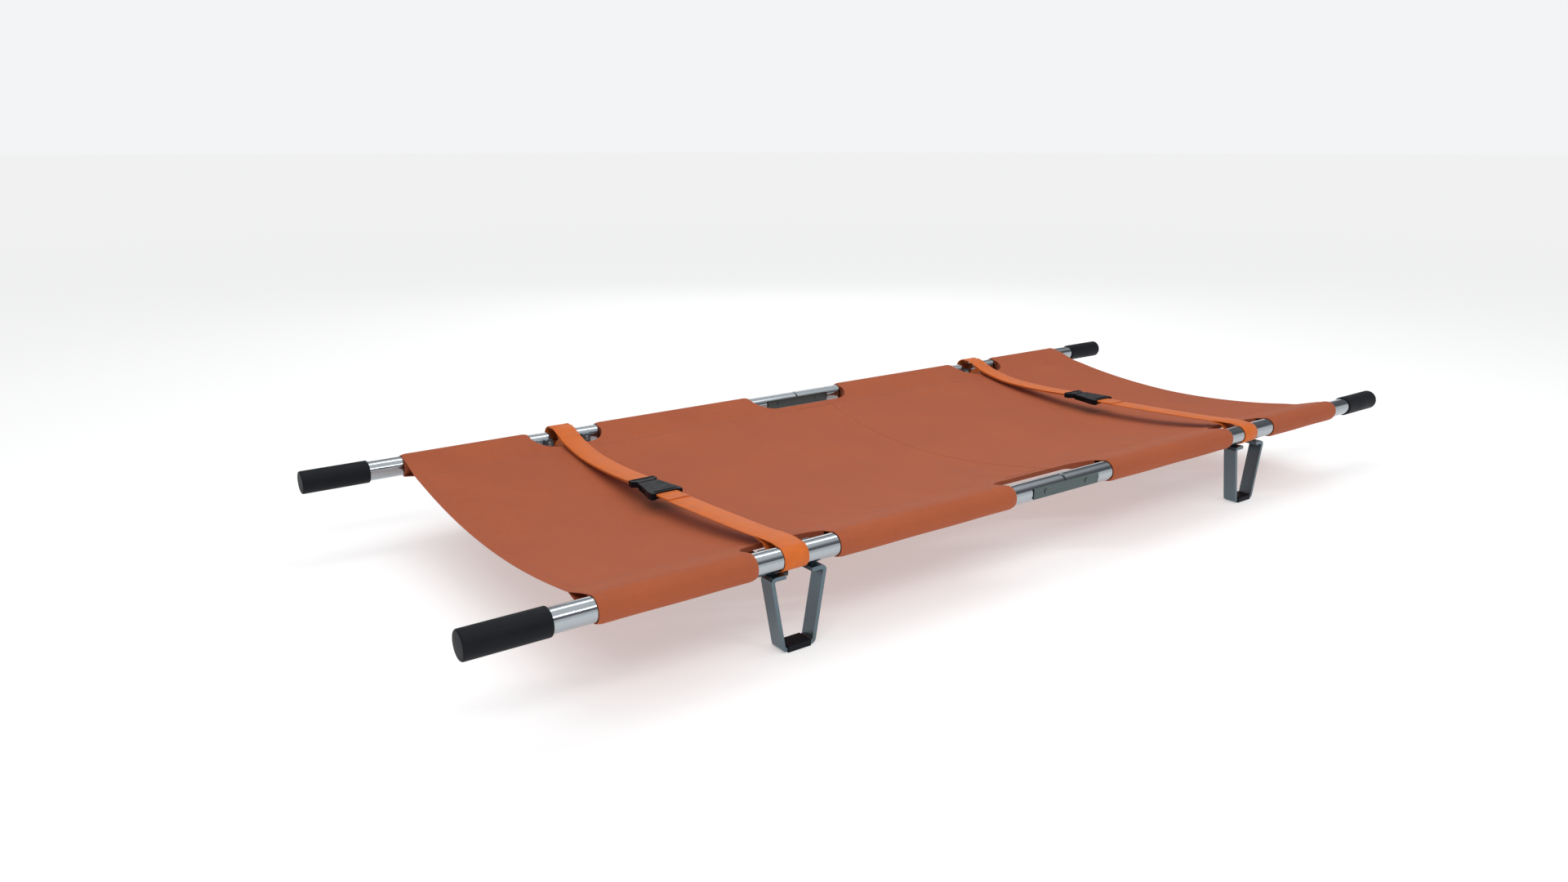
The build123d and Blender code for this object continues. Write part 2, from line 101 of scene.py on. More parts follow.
# ---- node helpers -------------------------------------------------------------------
class Nodes:
    """A small builder for one material's node tree."""

    def __init__(self, name):
        self.material = bpy.data.materials.new(name)
        self.material.use_nodes = True
        self.tree = self.material.node_tree
        self.shader = self.tree.nodes["Principled BSDF"]

    def add(self, kind, **values):
        """A node with these properties or input values."""
        node = self.tree.nodes.new(kind)
        for key, value in values.items():
            if key in node.bl_rna.properties.keys():
                setattr(node, key, value)
            else:
                node.inputs[key.replace("_", " ")].default_value = value
        return node

    def link(self, out, into):
        self.tree.links.new(out, into)

    def object_space(self, scale=(1, 1, 1)):
        where = self.add("ShaderNodeTexCoord")
        mapping = self.add("ShaderNodeMapping")
        mapping.inputs["Scale"].default_value = scale
        self.link(where.outputs["Object"], mapping.inputs["Vector"])
        return mapping.outputs["Vector"]

    def cloth_space(self, scale=(1, 1, 1)):
        where = self.add("ShaderNodeUVMap", uv_map="cloth")
        mapping = self.add("ShaderNodeMapping")
        mapping.inputs["Scale"].default_value = scale
        self.link(where.outputs["UV"], mapping.inputs["Vector"])
        return mapping.outputs["Vector"]

    def noise(self, vector, scale, detail=4.0, roughness=0.55):
        node = self.add("ShaderNodeTexNoise", Scale=scale, Detail=detail, Roughness=roughness)
        self.link(vector, node.inputs["Vector"])
        return node.outputs["Fac"]

    def wave(self, vector, pitch, direction):
        """Parallel ridges this far apart."""
        node = self.add("ShaderNodeTexWave", Distortion=0.0)
        node.bands_direction = direction
        node.inputs["Scale"].default_value = math.pi / (10 * pitch)
        self.link(vector, node.inputs["Vector"])
        return node.outputs["Fac"]

    def math(self, operation, a, b):
        node = self.add("ShaderNodeMath", operation=operation)
        for socket, value in zip(node.inputs, (a, b)):
            if isinstance(value, (int, float)):
                socket.default_value = value
            else:
                self.link(value, socket)
        return node.outputs[0]

    def span(self, value, low, high, to_low, to_high):
        """The value mapped from one range to another."""
        node = self.add("ShaderNodeMapRange")
        self.link(value, node.inputs["Value"])
        for key, number in zip(("From Min", "From Max", "To Min", "To Max"),
                               (low, high, to_low, to_high)):
            node.inputs[key].default_value = number
        return node.outputs["Result"]

    def mix(self, share, a, b):
        """Colour a where share is 0, b where it is 1."""
        node = self.add("ShaderNodeMix", data_type="RGBA")
        for socket, value in zip((node.inputs[0], node.inputs[6], node.inputs[7]), (share, a, b)):
            if isinstance(value, (int, float)):
                socket.default_value = value
            elif isinstance(value, tuple):
                socket.default_value = (*value, 1.0)
            else:
                self.link(value, socket)
        return node.outputs[2]

    def bump(self, height, strength, distance, under=None):
        """Relief on the shader, on top of an earlier relief if one is given."""
        node = self.add("ShaderNodeBump", Strength=strength, Distance=distance)
        self.link(height, node.inputs["Height"])
        if under is not None:
            self.link(under, node.inputs["Normal"])
        self.link(node.outputs["Normal"], self.shader.inputs["Normal"])
        return node.outputs["Normal"]

    def set(self, **values):
        """Shader inputs by name: a number, a colour or another node's output."""
        for key, value in values.items():
            socket = self.shader.inputs[key.replace("_", " ")]
            if isinstance(value, (int, float)):
                socket.default_value = value
            elif isinstance(value, tuple):
                socket.default_value = (*value, 1.0)
            else:
                self.link(value, socket)


# ---- materials ----------------------------------------------------------------------
def brushed_metal(name, colour, shade, rough, lines_along="round", scuffs=0.25):
    """Drawn or brushed metal: fine lines, soft stains and a few bright scuffs."""
    n = Nodes(name)
    stretch = (900, 30, 30) if lines_along == "round" else (25, 700, 700)
    lines = n.noise(n.object_space(stretch), 1.0, detail=3.0)
    stains = n.noise(n.object_space(), 22.0, detail=5.0)
    scratch = n.noise(n.object_space((60, 420, 420)), 1.0, detail=2.0)
    marks = n.span(scratch, 0.66, 0.78, 0.0, scuffs)
    base = n.mix(n.span(lines, 0.3, 0.7, 0.0, 0.6), colour, shade)
    base = n.mix(n.span(stains, 0.40, 0.80, 0.0, 0.2), base, shade)
    base = n.mix(marks, base, tuple(min(1.0, c * 1.3) for c in colour))
    n.set(Base_Color=base, Metallic=1.0)
    n.set(Roughness=n.span(lines, 0.25, 0.75, rough - 0.04, rough + 0.06))
    n.bump(lines, 0.025, 0.0001)
    return n.material


def rubber(name):
    """Moulded black rubber with a fine pebble and a dusty bloom."""
    n = Nodes(name)
    grain = n.add("ShaderNodeTexVoronoi", Scale=620.0)
    n.link(n.object_space(), grain.inputs["Vector"])
    cloud = n.noise(n.object_space(), 34.0, detail=6.0)
    base = n.mix(n.span(cloud, 0.35, 0.75, 0.0, 1.0), (0.003, 0.0045, 0.007), (0.007, 0.009, 0.013))
    n.set(Base_Color=base, Roughness=n.span(cloud, 0.3, 0.7, 0.50, 0.68))
    n.set(Specular_IOR_Level=0.16)
    n.bump(grain.outputs["Distance"], 0.28, 0.0006)
    return n.material


def plastic(name):
    """Moulded acetal: even black with a faint spark-eroded texture."""
    n = Nodes(name)
    texture = n.noise(n.object_space(), 1900.0, detail=2.0)
    cloud = n.noise(n.object_space(), 60.0, detail=4.0)
    base = n.mix(n.span(cloud, 0.3, 0.7, 0.0, 1.0), (0.002, 0.003, 0.005), (0.004, 0.0055, 0.009))
    n.set(Base_Color=base, Roughness=n.span(cloud, 0.3, 0.7, 0.42, 0.54))
    n.set(Specular_IOR_Level=0.12)
    n.bump(texture, 0.16, 0.0003)
    return n.material


def painted(name, colour):
    """Powder coat: orange peel, with rubbed patches."""
    n = Nodes(name)
    peel = n.noise(n.object_space(), 700.0, detail=2.0)
    wear = n.noise(n.object_space(), 45.0, detail=7.0)
    rubbed = n.span(wear, 0.60, 0.72, 0.0, 0.55)
    n.set(Base_Color=n.mix(rubbed, colour, tuple(c * 1.9 for c in colour)))
    n.set(Roughness=n.span(wear, 0.3, 0.7, 0.42, 0.56), Metallic=0.25)
    n.bump(peel, 0.18, 0.0004)
    return n.material


def canvas(name, light, dark):
    """Coated plain-weave canvas: threads both ways, slubs, faint creasing and fading, with painted shade in the
    gaps between the threads.
    """
    n = Nodes(name)
    warp = n.wave(n.cloth_space(), 1.1 * MM, "X")
    weft = n.wave(n.cloth_space(), 1.1 * MM, "Y")
    weave = n.math("MULTIPLY", warp, weft)
    slub = n.noise(n.cloth_space((40, 900, 1)), 1.0, detail=3.0)
    slub_across = n.noise(n.cloth_space((900, 40, 1)), 1.0, detail=3.0)
    threads = n.math("ADD", n.math("MULTIPLY", slub, 0.5), n.math("MULTIPLY", slub_across, 0.5))
    fade = n.noise(n.cloth_space(), 5.5, detail=6.0, roughness=0.6)
    crease = n.noise(n.cloth_space(), 26.0, detail=5.0, roughness=0.5)
    base = n.mix(n.span(fade, 0.32, 0.68, 0.0, 1.0), dark, light)
    base = n.mix(n.span(threads, 0.40, 0.62, 0.0, 0.30), base, tuple(c * 0.72 for c in dark))
    # painted shade: darker where the weave's relief is low, in the gaps between threads
    base = n.mix(n.span(weave, 0.0, 1.0, 0.16, 0.0), base, tuple(c * 0.6 for c in dark))
    n.set(Base_Color=base, Roughness=n.span(fade, 0.3, 0.7, 0.72, 0.84))
    n.set(Specular_IOR_Level=0.20, Sheen_Weight=0.06, Sheen_Roughness=0.45)
    n.shader.inputs["Sheen Tint"].default_value = (1.0, 0.72, 0.60, 1.0)
    under = n.bump(crease, 0.16, 0.004)
    n.bump(weave, 0.35, 0.0004, under)
    return n.material


def webbing(name, light, dark):
    """Woven nylon tape: cross ribs, long ridges and tight selvedges, with painted shade in the grooves between
    ribs.
    """
    n = Nodes(name)
    ribs = n.wave(n.cloth_space(), 1.6 * MM, "Y")
    ridges = n.wave(n.cloth_space(), 2.4 * MM, "X")
    wear = n.noise(n.cloth_space(), 38.0, detail=6.0)
    height = n.math("ADD", ribs, n.math("MULTIPLY", ridges, 0.45))
    base = n.mix(n.span(wear, 0.32, 0.70, 0.0, 1.0), dark, light)
    # painted shade: darker where the relief is low, in the grooves between ribs and ridges
    base = n.mix(n.span(height, 0.2, 1.2, 0.34, 0.0), base, tuple(c * 0.5 for c in dark))
    n.set(Base_Color=base, Roughness=n.span(wear, 0.3, 0.7, 0.50, 0.64))
    n.set(Specular_IOR_Level=0.28, Sheen_Weight=0.08, Sheen_Roughness=0.35)
    n.bump(height, 0.40, 0.0005)
    return n.material


def thread(name, colour):
    """Twisted sewing thread, with painted shade in the dips of its twist."""
    n = Nodes(name)
    ply = n.noise(n.object_space(), 2600.0, detail=2.0)
    # painted shade: darker where the twist's relief dips
    n.set(Base_Color=n.mix(ply, tuple(c * 0.6 for c in colour), colour), Roughness=0.55)
    n.set(Sheen_Weight=0.3)
    n.bump(ply, 0.3, 0.0002)
    return n.material


LOOKS = {
    "aluminium_tube": brushed_metal("tube_metal", (0.42, 0.455, 0.48), (0.37, 0.405, 0.43), 0.15,
                                    scuffs=0.12),
    "leg_alloy": brushed_metal("leg_metal", (0.135, 0.180, 0.205), (0.105, 0.145, 0.170), 0.31,
                               "long"),
    "hinge_steel": brushed_metal("hinge_metal", (0.105, 0.130, 0.130), (0.08, 0.10, 0.10), 0.34, "long"),
    "fastener_steel": brushed_metal("fastener_metal", (0.34, 0.36, 0.38), (0.25, 0.27, 0.29), 0.30),
    "plug_alloy": brushed_metal("plug_metal", (0.30, 0.33, 0.35), (0.23, 0.26, 0.28), 0.34),
    "grip_rubber": rubber("grip_rubber"),
    "buckle_plastic": plastic("buckle_plastic"),
    "spreader_steel": painted("spreader_paint", (0.075, 0.085, 0.095)),
    "canvas": canvas("bed_canvas", (0.455, 0.112, 0.044), (0.395, 0.094, 0.037)),
    "webbing": webbing("strap_webbing", (0.76, 0.168, 0.020), (0.64, 0.135, 0.016)),
}
CANVAS_THREAD = thread("canvas_thread", (0.40, 0.105, 0.048))
STRAP_THREAD = thread("strap_thread", (0.50, 0.13, 0.03))
# a darker copy of the bed canvas for the folded rim: painted shade on the edge that turns down into the pocket
HEM_PAINTED_SHADE = canvas("hem_canvas_painted_shade", (0.34, 0.082, 0.036), (0.28, 0.068, 0.030))

for part in frame["record"]["subparts"]:
    node = frame["nodes"][part["node"]]
    node.data.materials.clear()
    node.data.materials.append(LOOKS[part["material_slot"]])


# ---- mesh helpers -------------------------------------------------------------------
def make_object(name, points, faces, uvs, material, thickness=0.0):
    """A mesh object from points; thickness grows inwards from the given surface."""
    mesh = bpy.data.meshes.new(name)
    mesh.from_pydata([tuple(p) for p in points], [], faces)
    layer = mesh.uv_layers.new(name="cloth")
    for loop in mesh.loops:
        layer.data[loop.index].uv = uvs[loop.vertex_index]
    mesh.materials.append(material)
    obj = bpy.data.objects.new(name, mesh)
    bpy.context.scene.collection.objects.link(obj)
    if thickness:
        solid = obj.modifiers.new("thickness", "SOLIDIFY")
        solid.thickness = thickness
        solid.offset = -1.0
        solid.use_even_offset = True
        apply_modifiers(obj)
    for polygon in obj.data.polygons:
        polygon.use_smooth = True
    soften(obj)
    return obj


def apply_modifiers(obj):
    """Writes the object's modifiers into its mesh."""
    bpy.context.view_layer.update()
    shaped = bpy.data.meshes.new_from_object(obj.evaluated_get(bpy.context.evaluated_depsgraph_get()))
    obj.modifiers.clear()
    obj.data = shaped


def soften(obj, angle=38.0):
    """Outward faces and smooth shading, with the real edges kept sharp."""
    mesh = bmesh.new()
    mesh.from_mesh(obj.data)
    bmesh.ops.recalc_face_normals(mesh, faces=mesh.faces)
    for edge in mesh.edges:
        if len(edge.link_faces) == 2:
            edge.smooth = edge.calc_face_angle(0.0) < math.radians(angle)
    mesh.to_mesh(obj.data)
    mesh.free()


def join(first, *others):
    """Joins meshes into the first, keeping materials and the cloth coordinates."""
    with bpy.context.temp_override(active_object=first, selected_editable_objects=[first, *others]):
        bpy.ops.object.join()
    return first


def stitch_row(name, spots, along, up, material):
    """A row of short raised stitches at these points; along and up are unit vectors."""
    length, width, sides = 3.2 * MM, 0.8 * MM, 6
    points, faces = [], []
    for spot, direction, normal in zip(spots, along, up):
        across = direction.cross(normal)
        start = len(points)
        for station, swell in ((-0.5, 0.35), (-0.2, 1.0), (0.2, 1.0), (0.5, 0.35)):
            for k in range(sides):
                turn = 2 * math.pi * k / sides
                ring = across * math.cos(turn) + normal * (math.sin(turn) * 0.6)
                points.append(spot + direction * (length * station) + ring * (width / 2 * swell))
        for ring in range(3):
            for k in range(sides):
                a = start + ring * sides + k
                b = start + ring * sides + (k + 1) % sides
                faces.append((a, b, b + sides, a + sides))
        faces.append(tuple(start + k for k in range(sides))[::-1])
        faces.append(tuple(start + 3 * sides + k for k in range(sides)))
    return make_object(name, points, faces, [(0, 0)] * len(points), material)


# ---- shape of the canvas ------------------------------------------------------------
def tangent_point(sign):
    """Where the layer leaves the sleeve's circle for the seam: (inboard, height)."""
    distance = math.hypot(*SEAM)
    lean = math.atan2(SEAM[1], SEAM[0])
    turn = lean + sign * math.acos(SLEEVE_R / distance)
    return SLEEVE_R * math.cos(turn), SLEEVE_R * math.sin(turn), turn


TOP_T, TOP_Z, TOP_TURN = tangent_point(1)
LOW_T, LOW_Z, LOW_TURN = tangent_point(-1)


def ripple(x, inboard):
    """Slack in the cloth, strongest just inboard of the seam between the cut-outs."""
    fall = math.exp(-abs(inboard - 95 * MM) / (70 * MM))
    pull = 0.6 * math.sin(x * 41.0 + 0.7) + 0.4 * math.sin(x * 87.0 + 2.1 + inboard * 20)
    broad = 0.9 * math.sin(x * 7.3 + 0.4) * math.sin(math.pi * min(inboard / POLE_Y, 1.0))
    fade = min(1.0, max(0.0, (inboard - SEAM[0]) / (30 * MM)))
    return (pull * fall * 1.1 + broad) * MM * fade


def end_dip(x):
    """How far the canvas is drawn in to the tube near an end of a sleeve."""
    ends = (MID_CUT, *LEG_CUT, BED_END)
    near = min(abs(abs(x) - e) for e in ends)
    return END_DIP * max(0.0, 1 - near / END_PULL) ** 1.5


def top_height(x, y):
    """Top surface of the bed above the pole axis."""
    inboard = POLE_Y - abs(y)
    if inboard < SEAM[0]:
        share = (inboard - TOP_T) / (SEAM[0] - TOP_T)
        return TOP_Z + (SEAM[1] - TOP_Z) * share - end_dip(x) * max(0.0, 1 - share * 3)
    seam_y = POLE_Y - SEAM[0]
    return SAG_Z + (SEAM[1] - SAG_Z) * (y / seam_y) ** 2 + ripple(x, inboard)


def low_height(y):
    """Lower layer of the sleeve's wing."""
    share = (POLE_Y - abs(y) - LOW_T) / (SEAM[0] - LOW_T)
    return LOW_Z + (SEAM[1] - CLOTH_T - LOW_Z) * share


def spaced(start, end, step):
    """Values from start to end, evenly spaced by about step."""
    count = max(1, round(abs(end - start) / step))
    return [start + (end - start) * i / count for i in range(count + 1)]


def cut_outs():
    """(low x, high x) of the cut-outs along a pole."""
    return [(-LEG_CUT[1], -LEG_CUT[0]), (-MID_CUT, MID_CUT), LEG_CUT]


def quarter(steps):
    """Turns from 0 to a right angle."""
    return [math.pi / 2 * k / steps for k in range(steps + 1)]


def corner(x, way, turns):
    """Rounded corner (x, inboard) that leaves the pole at x; way is 1 or -1 along x."""
    return [(x + way * CUT_CORNER * (1 - math.cos(a)), CUT_EDGE - CUT_CORNER * (1 - math.sin(a)))
            for a in turns]


def edge_line(start, end, outer):
    """Points (x, inboard) along one pole side of the bed, round its cut-outs."""
    line = [(start, outer)] if not in_cut(start) else []
    turns = quarter(CORNER_STEPS)
    for low, high in cut_outs():
        if high <= start or low >= end:
            continue
        if low > start:
            line += [(low, outer), *corner(low, 1, turns)]
        left = max(start, low + CUT_CORNER)
        right = min(end, high - CUT_CORNER)
        line += [(x, CUT_EDGE) for x in spaced(left, right, GRID)[int(low > start):]]
        if high < end:
            line += [*corner(high, -1, turns[-2::-1]), (high, outer)]
    if not in_cut(end):
        line.append((end, outer))
    return line


def in_cut(x):
    """Whether x lies inside a cut-out."""
    return any(low < x < high for low, high in cut_outs())


def at_cut(x):
    """Whether x is where a cut-out starts or ends."""
    return any(abs(edge - x) < CLOSE for pair in cut_outs() for edge in pair)


def filled(name, outline, height, material, thickness, flip=False):
    """A sheet over a plan outline, meshed on a grid and lifted by height(x, y)."""
    clear = 0.55 * GRID
    border = []
    for (ax, ay), (bx, by) in zip(outline, outline[1:] + outline[:1]):
        count = max(1, math.ceil(math.hypot(bx - ax, by - ay) / GRID))
        border += [(ax + (bx - ax) * i / count, ay + (by - ay) * i / count) for i in range(count)]
    array = np.array(border)
    low, high = array.min(0), array.max(0)
    xs = spaced(low[0], high[0], GRID)[1:-1]
    ys = spaced(low[1], high[1], GRID)[1:-1]
    inner = [(x, y) for x in xs for y in ys
             if np.hypot(array[:, 0] - x, array[:, 1] - y).min() > clear]
    plan = [Vector(p) for p in border + inner]
    face = [list(range(len(border)))]
    verts, _, faces, *_ = delaunay_2d_cdt(plan, [], face, 1, 1e-7)
    points = [(v.x, v.y, AXIS_Z + height(v.x, v.y)) for v in verts]
    faces = [tuple(f) for f in faces]
    if flip:
        faces = [f[::-1] for f in faces]
    uvs = [(v.x, v.y * 1.02) for v in verts]
    return make_object(name, points, faces, uvs, material, thickness)


# ---- bed ----------------------------------------------------------------------------
def join_shift(y):
    """How far a length of bed runs past the hinge pin so that a right-angle fold closes."""
    return -top_height(0.0, y)


def bed_outline(start, end, start_lap, end_lap):
    """Plan outline of one length of bed; a lap sets how its hinge edge follows the sag."""
    right = [(x, -(POLE_Y - t)) for x, t in edge_line(start, end, TOP_T)]
    left = [(x, -y) for x, y in right[::-1]]
    middle = spaced(-(POLE_Y - CUT_EDGE), POLE_Y - CUT_EDGE, GRID)[1:-1]

    def hinge_side(x, lap, ys):
        return [(x + lap * join_shift(y), y) for y in ys] if lap else []

    ahead = hinge_side(end, end_lap, middle)
    behind = hinge_side(start, start_lap, middle[::-1])
    return right + ahead + left + behind


def wing_patches(start, end):
    """Plan outlines of the stretches between the cut-outs, from the sleeve to the seam."""
    stops = [start] + [x for pair in cut_outs() for x in pair if start < x < end] + [end]
    turns = quarter(8)
    for low, high in zip(stops, stops[1:]):
        if in_cut((low + high) / 2):
            continue
        line = [(low, LOW_T), (high, LOW_T)]
        if at_cut(high):
            line += corner(high, 1, turns)
        back = corner(low, -1, turns[::-1]) if at_cut(low) else [(low, SEAM[0])]
        line.append((line[-1][0], SEAM[0]))
        if at_cut(low):
            line.append((back[0][0], SEAM[0]))
        yield line + back


def seam_stitches(name, start, end, side, inboard):
    """Lockstitch along the seam, lying on the bed."""
    y = side * (POLE_Y - inboard)
    xs = spaced(start + SEAM_STOP, end - SEAM_STOP, STITCH_PITCH)
    spots = [Vector((x, y, AXIS_Z + top_height(x, y) + STITCH_LIFT)) for x in xs]
    along = [Vector((1, 0, 0))] * len(xs)
    up = [Vector((0, 0, 1))] * len(xs)
    return stitch_row(name, spots, along, up, CANVAS_THREAD)


def end_stitches(name, x):
    """Stitching across the hem at an end of the bed."""
    ys = spaced(-(POLE_Y - SEAM[0]), POLE_Y - SEAM[0], STITCH_PITCH)
    spots, along = [], []
    for y in ys:
        slope = (top_height(x, y + MM) - top_height(x, y - MM)) / (2 * MM)
        direction = Vector((0, 1, slope)).normalized()
        spots.append(Vector((x, y, AXIS_Z + top_height(x, y) + STITCH_LIFT)))
        along.append(direction)
    up = [d.cross(Vector((-1, 0, 0))).normalized() for d in along]
    return stitch_row(name, spots, along, up, CANVAS_THREAD)


def hem_rim(name, start, end):
    """Folded edge that closes the two layers along the cut-outs in one length of bed."""
    rims = []
    turns = [math.radians(a) for a in range(10, 91, 8)]
    for side in (-1, 1):
        for low, high in cut_outs():
            left = max(low, start)
            right = min(high, end)
            if left >= right:
                continue
            line = corner(low, 1, turns) if low >= start else []
            first = low + CUT_CORNER if low >= start else left
            last = high - CUT_CORNER if high <= end else right
            line += [(x, CUT_EDGE) for x in spaced(first, last, GRID)[int(low >= start):]]
            if high <= end:
                line += corner(high, -1, turns[-2::-1])
            rims.append(rim_strip(f"{name}_{len(rims)}", line, side))
    return rims


def rim_strip(name, line, side):
    """A strip along (x, inboard) points, bulging from the upper layer down to the lower."""
    points, faces, uvs = [], [], []
    steps, tuck = 5, 0.1 * MM
    for x, inboard in line:
        y = side * (POLE_Y - inboard)
        high = top_height(x, y) - tuck
        low = low_height(y) + tuck
        for k in range(steps + 1):
            share = k / steps
            bulge = HEM_BULGE * math.sin(math.pi * share)
            z = high + (low - high) * share
            points.append((x, y + side * bulge, AXIS_Z + z))
            uvs.append((x, z))
    for i in range(len(line) - 1):
        for k in range(steps):
            a = i * (steps + 1) + k
            face = (a, a + 1, a + steps + 2, a + steps + 1)
            faces.append(face[::-1] if side > 0 else face)
    # the rim takes the darker hem canvas, which is painted shade
    return make_object(name, points, faces, uvs, HEM_PAINTED_SHADE, HEM_BULGE)


def build_bed(name, node, body, start, end, laps, drop=0.0):
    """One length of the bed: top sheet, lower wings, hems and stitching in one mesh."""
    outline = bed_outline(start, end, *laps)
    sheet = filled(name, outline, lambda x, y: top_height(x, y) - drop, LOOKS["canvas"], CLOTH_T)
    extras = []
    for side in (-1, 1):
        for k, patch in enumerate(wing_patches(start, end)):
            plan = [(x, side * (POLE_Y - t)) for x, t in patch]
            if side > 0:
                plan = plan[::-1]
            extras.append(filled(f"{name}_wing_{side}_{k}", plan, lambda x, y: low_height(y),
                                 LOOKS["canvas"], CLOTH_T, flip=True))
        for row, past in enumerate(SEAM_ROWS):
            extras.append(seam_stitches(f"{name}_seam_{side}_{row}", start, end, side,
                                        SEAM[0] + past))
    extras += hem_rim(f"{name}_rim", start, end)
    for x in (-BED_END, BED_END):
        if start <= x <= end:
            extras.append(end_stitches(f"{name}_hem", x - math.copysign(BED_HEM, x)))
    join(sheet, *extras)
    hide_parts(node)
    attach(sheet, body)
    return sheet


MIDDLE_DROP = 0.3 * MM        # the middle length lies this much lower, clear of its neighbours
bed_pieces = [
    build_bed("bed_canvas_head", "bed_head", "right_head", -BED_END, -PIN_X, (0, 1)),
    build_bed("bed_canvas_middle", "bed_middle", "right_link", -PIN_X, PIN_X, (-1, 1), MIDDLE_DROP),
    build_bed("bed_canvas_foot", "bed_foot", "right_foot", PIN_X, BED_END, (-1, 0)),
]
for piece in bed_pieces:
    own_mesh(piece)


# ---- sleeves ------------------------------------------------------------------------
def ring_radius(turn):
    """Radius of the sleeve: full outside, close to the tube where the bed's layers cover it."""
    blend = math.radians(16)
    past = TOP_TURN - turn if turn < math.pi else turn - 2 * math.pi - LOW_TURN
    inside = max(0.0, min(1.0, past / blend))
    return SLEEVE_R + (INNER_R - SLEEVE_R) * inside


def sleeve_length(name, low, high, side):
    """Canvas tube round a pole; its inboard side lies inside the bed's pocket."""
    points, faces, uvs = [], [], []
    droop, inset = 0.5 * MM, 0.05 * MM
    near_ends = [0, 1.5 * MM, 3 * MM, 5 * MM, 7 * MM, END_PULL]
    xs = [low + d for d in near_ends] + [high - d for d in near_ends]
    xs = sorted(xs + spaced(low + END_PULL, high - END_PULL, 12 * MM)[1:-1])
    turns = spaced(0.0, 2 * math.pi, math.radians(7.5))
    for x in xs:
        for turn in turns:
            below = max(0.0, -math.sin(turn))
            full = (ring_radius(turn) - INNER_R) / (SLEEVE_R - INNER_R)
            slack = droop * below * (1 + 0.5 * math.sin(x * 37 + side)) * full
            radius = ring_radius(turn) + slack - inset - end_dip(x) * full
            inboard = radius * math.cos(turn)
            points.append((x, side * (POLE_Y - inboard), AXIS_Z + radius * math.sin(turn)))
            uvs.append((x, turn * SLEEVE_R))
    count = len(turns)
    for i in range(len(xs) - 1):
        for k in range(count - 1):
            a = i * count + k
            face = (a, a + 1, a + count + 1, a + count)
            faces.append(face[::-1] if side > 0 else face)
    return make_object(name, points, faces, uvs, LOOKS["canvas"], CLOTH_T)


def sleeve_stitches(name, x, side):
    """Hem stitching round a sleeve's end."""
    radius = SLEEVE_R + STITCH_LIFT - end_dip(x)
    stop = 0.12
    turns = spaced(TOP_TURN + stop, 2 * math.pi + LOW_TURN - stop, STITCH_PITCH / radius)
    spots, along, up = [], [], []
    for turn in turns:
        out = Vector((0, -side * math.cos(turn), math.sin(turn)))
        spots.append(Vector((x, side * POLE_Y, AXIS_Z)) + out * radius)
        along.append(Vector((0, side * math.sin(turn), math.cos(turn))))
        up.append(out)
    return stitch_row(name, spots, along, up, CANVAS_THREAD)


for side_name, side in (("right", -1), ("left", 1)):
    for end_name, end in (("head", -1), ("foot", 1)):
        pieces = []
        for k, (near, far) in enumerate(((MID_CUT, LEG_CUT[0]), (LEG_CUT[1], BED_END))):
            low, high = sorted((end * near, end * far))
            pieces.append(sleeve_length(f"sleeve_{side_name}_{end_name}_{k}", low, high, side))
            for x in (low + SLEEVE_HEM, high - SLEEVE_HEM):
                pieces.append(sleeve_stitches(f"sleeve_stitch_{len(pieces)}", x, side))
        sleeve = join(*pieces)
        sleeve.name = f"sleeve_{side_name}_{end_name}"
        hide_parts(f"{side_name}_{end_name}_sleeve")
        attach(sleeve, f"{side_name}_{end_name}")


# ---- straps -------------------------------------------------------------------------
def smooth_line(points, per_span=8):
    """A curve through the points, as closely spaced points."""
    p = [np.array(q, float) for q in points]
    p = [2 * p[0] - p[1]] + p + [2 * p[-1] - p[-2]]
    line = []
    for i in range(1, len(p) - 2):
        for k in range(per_span):
            t = k / per_span
            a, b, c, d = p[i - 1], p[i], p[i + 1], p[i + 2]
            line.append(0.5 * (2 * b + (c - a) * t + (2 * a - 5 * b + 4 * c - d) * t * t
                               + (3 * b - a - 3 * c + d) * t ** 3))
    return line + [p[-2]]


def ribbon(name, line, centre_x, side, width=STRAP_W):
    """Flat tape swept along (inboard, height) points, crowned a little, with soft edges."""
    half, edge = width / 2, 0.6 * MM
    profile = [(-half, 0.25), (-half + edge, 0.5), (0, 0.56), (half - edge, 0.5),
               (half, 0.25), (half, -0.25), (half - edge, -0.5), (0, -0.44),
               (-half + edge, -0.5), (-half, -0.25)]
    points, faces, uvs = [], [], []
    line = [np.array(q, float) for q in line]
    run = 0.0
    for i, spot in enumerate(line):
        before = line[max(0, i - 1)]
        after = line[min(len(line) - 1, i + 1)]
        direction = (after - before) / np.linalg.norm(after - before)
        normal = np.array([-direction[1], direction[0]])
        run += np.linalg.norm(spot - before)
        for x, lift in profile:
            inboard, z = spot + normal * lift * WEB_T
            points.append((centre_x + x, side * (POLE_Y - inboard), AXIS_Z + z))
            uvs.append((x, run))
    count = len(profile)
    for i in range(len(line) - 1):
        for k in range(count):
            a = i * count + k
            b = i * count + (k + 1) % count
            face = (a, b, b + count, a + count)
            faces.append(face if side < 0 else face[::-1])
    ends = [tuple(range(count))[::-1], tuple((len(line) - 1) * count + k for k in range(count))]
    faces += [face if side < 0 else face[::-1] for face in ends]
    obj = make_object(name, points, faces, uvs, LOOKS["webbing"])
    soften(obj, 50)
    return obj


